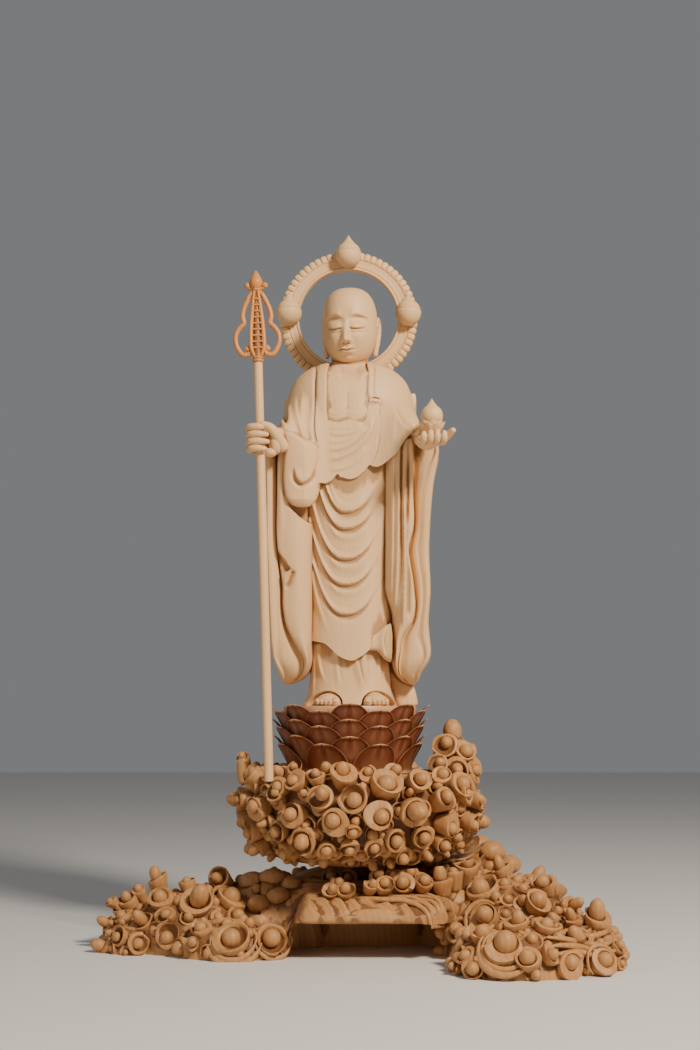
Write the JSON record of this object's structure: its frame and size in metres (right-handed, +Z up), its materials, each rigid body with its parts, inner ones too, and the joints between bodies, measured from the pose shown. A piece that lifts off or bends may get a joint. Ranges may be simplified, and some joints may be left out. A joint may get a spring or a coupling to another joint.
{
  "type": "wooden jizo statue",
  "caption": "Carved wooden standing monk with a ringed staff, a jewel in the palm and a ring halo, on a lotus seat above two carved cloud bases.",
  "frame": {"origin": "on the surface the statue stands on, under the figure's axis, on the flat underside of the lower cloud", "axes": "+Z up along the figure, +X to the viewer's right, -Y to the front, towards the viewer"},
  "size_m": [0.6259, 0.3963, 0.9289],
  "materials": {
    "pale_cypress": "bare, tool finished, fine straight grain",
    "orange_boxwood": "bare, smooth",
    "dark_rosewood": "dark red-brown, satin"
  },
  "bodies": {
    "root": {"figure": "pale_cypress", "staff_shaft": "pale_cypress", "staff_head": "orange_boxwood", "halo_ring": "pale_cypress", "halo_jewel_top": "pale_cypress", "halo_jewel_left": "pale_cypress", "halo_jewel_right": "pale_cypress", "palm_jewel": "pale_cypress", "lotus_seat": "dark_rosewood", "upper_cloud": "pale_cypress", "lower_cloud": "pale_cypress"}
  },
  "joints": []
}
